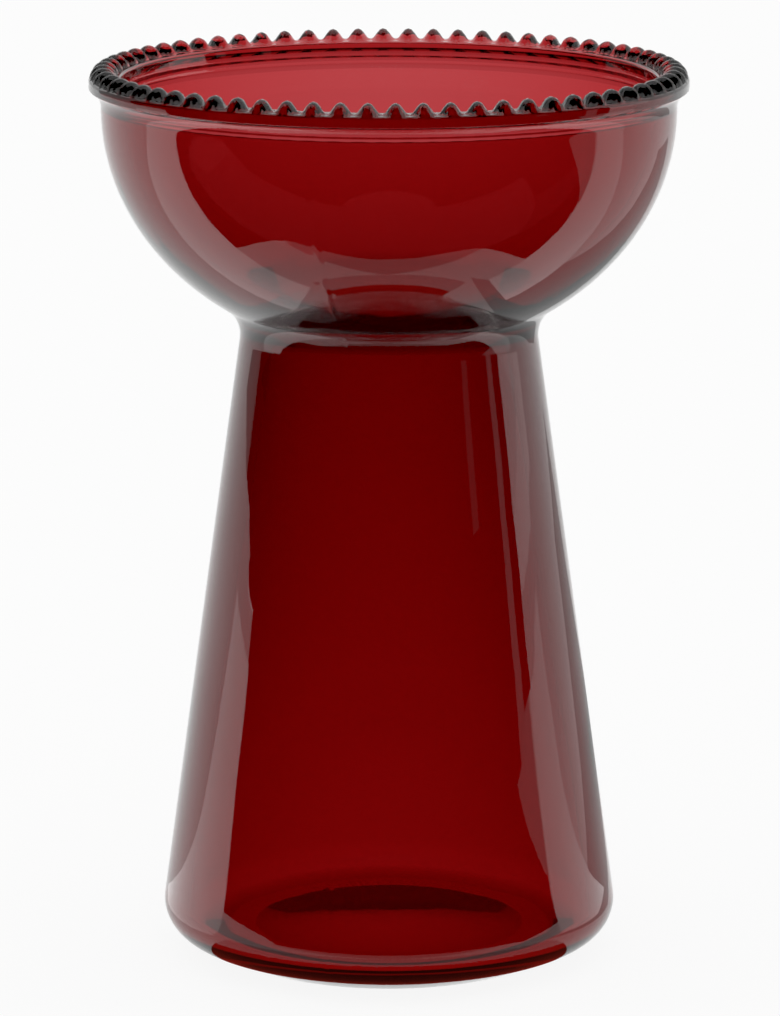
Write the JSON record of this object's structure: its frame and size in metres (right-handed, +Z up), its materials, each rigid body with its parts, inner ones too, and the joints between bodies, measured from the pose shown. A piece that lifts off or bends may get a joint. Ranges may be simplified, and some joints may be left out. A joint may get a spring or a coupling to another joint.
{
  "type": "hyacinth forcing vase",
  "caption": "Ruby glass vase for growing a hyacinth bulb on water: round bowl with a beaded lip, narrow neck and flared water chamber.",
  "frame": {"origin": "middle of the foot, on the surface that the vase stands on", "axes": "+Z up along the vase's axis"},
  "size_m": [0.1048, 0.1048, 0.1592],
  "materials": {
    "ruby_glass": "clear, coloured through, fire polished"
  },
  "bodies": {
    "root": {"foot": "ruby_glass", "water_chamber": "ruby_glass", "neck": "ruby_glass", "bulb_bowl": "ruby_glass", "beaded_rim": "ruby_glass"}
  },
  "joints": []
}
